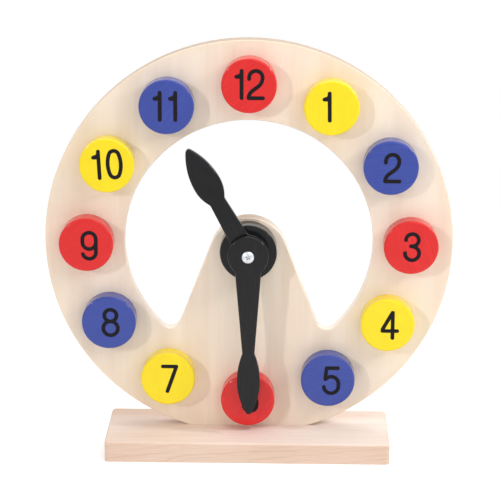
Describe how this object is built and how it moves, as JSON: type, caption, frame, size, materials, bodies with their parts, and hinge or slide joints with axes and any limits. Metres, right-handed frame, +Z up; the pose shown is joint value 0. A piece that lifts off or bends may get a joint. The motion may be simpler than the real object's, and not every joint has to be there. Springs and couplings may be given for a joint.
{
  "type": "teaching clock",
  "caption": "Free-standing wooden teaching clock: ring-shaped dial with a central tongue, lift-out number pegs and two hand-turned hands on a base board.",
  "frame": {"origin": "middle of the base board's underside", "axes": "+Z up, X along the base board with the right of the dial at +X as it is read, the dial faces -Y"},
  "size_m": [0.24, 0.06, 0.2465],
  "materials": {
    "plywood": "fine-grained pale plywood, sanded, clear matt lacquer",
    "solid_wood": "solid pinkish hardwood with straight grain, sanded, edges eased",
    "dowel_wood": "plain birch dowel",
    "red_paint": "opaque satin red paint on wood, black painted numeral",
    "yellow_paint": "opaque satin yellow paint on wood, black painted numeral",
    "blue_paint": "opaque satin blue paint on wood, black painted numeral",
    "black_paint": "opaque satin black paint on wood",
    "zinc_steel": "bright zinc-plated steel"
  },
  "bodies": {
    "stand": {"base_board": "solid_wood", "dial_plate": "plywood", "hub_spacer": "black_paint", "pivot_screw": "zinc_steel", "base_screws": "zinc_steel"},
    "hour_hand": {"hour_hand": "black_paint"},
    "minute_hand": {"minute_hand": "black_paint"},
    "number_peg_01": {"number_01_yellow": "yellow_paint", "peg_dowel_01": "dowel_wood"},
    "number_peg_02": {"number_02_blue": "blue_paint", "peg_dowel_02": "dowel_wood"},
    "number_peg_03": {"number_03_red": "red_paint", "peg_dowel_03": "dowel_wood"},
    "number_peg_04": {"number_04_yellow": "yellow_paint", "peg_dowel_04": "dowel_wood"},
    "number_peg_05": {"number_05_blue": "blue_paint", "peg_dowel_05": "dowel_wood"},
    "number_peg_06": {"number_06_red": "red_paint", "peg_dowel_06": "dowel_wood"},
    "number_peg_07": {"number_07_yellow": "yellow_paint", "peg_dowel_07": "dowel_wood"},
    "number_peg_08": {"number_08_blue": "blue_paint", "peg_dowel_08": "dowel_wood"},
    "number_peg_09": {"number_09_red": "red_paint", "peg_dowel_09": "dowel_wood"},
    "number_peg_10": {"number_10_yellow": "yellow_paint", "peg_dowel_10": "dowel_wood"},
    "number_peg_11": {"number_11_blue": "blue_paint", "peg_dowel_11": "dowel_wood"},
    "number_peg_12": {"number_12_red": "red_paint", "peg_dowel_12": "dowel_wood"}
  },
  "joints": [
    {"name": "hour_hand_turn", "type": "hinge", "parent": "stand", "child": "hour_hand", "pos_m": [0, -0.0107, 0.1225], "axis": [0, 1, 0], "continuous": true},
    {"name": "minute_hand_turn", "type": "hinge", "parent": "stand", "child": "minute_hand", "pos_m": [0, -0.0149, 0.1225], "axis": [0, 1, 0], "continuous": true},
    {"name": "number_01_lift_out", "type": "slide", "parent": "stand", "child": "number_peg_01", "axis": [0, -1, 0], "range_m": [0, 0.028]},
    {"name": "number_02_lift_out", "type": "slide", "parent": "stand", "child": "number_peg_02", "axis": [0, -1, 0], "range_m": [0, 0.028]},
    {"name": "number_03_lift_out", "type": "slide", "parent": "stand", "child": "number_peg_03", "axis": [0, -1, 0], "range_m": [0, 0.028]},
    {"name": "number_04_lift_out", "type": "slide", "parent": "stand", "child": "number_peg_04", "axis": [0, -1, 0], "range_m": [0, 0.028]},
    {"name": "number_05_lift_out", "type": "slide", "parent": "stand", "child": "number_peg_05", "axis": [0, -1, 0], "range_m": [0, 0.028]},
    {"name": "number_06_lift_out", "type": "slide", "parent": "stand", "child": "number_peg_06", "axis": [0, -1, 0], "range_m": [0, 0.004]},
    {"name": "number_07_lift_out", "type": "slide", "parent": "stand", "child": "number_peg_07", "axis": [0, -1, 0], "range_m": [0, 0.028]},
    {"name": "number_08_lift_out", "type": "slide", "parent": "stand", "child": "number_peg_08", "axis": [0, -1, 0], "range_m": [0, 0.028]},
    {"name": "number_09_lift_out", "type": "slide", "parent": "stand", "child": "number_peg_09", "axis": [0, -1, 0], "range_m": [0, 0.028]},
    {"name": "number_10_lift_out", "type": "slide", "parent": "stand", "child": "number_peg_10", "axis": [0, -1, 0], "range_m": [0, 0.028]},
    {"name": "number_11_lift_out", "type": "slide", "parent": "stand", "child": "number_peg_11", "axis": [0, -1, 0], "range_m": [0, 0.028]},
    {"name": "number_12_lift_out", "type": "slide", "parent": "stand", "child": "number_peg_12", "axis": [0, -1, 0], "range_m": [0, 0.028]}
  ]
}
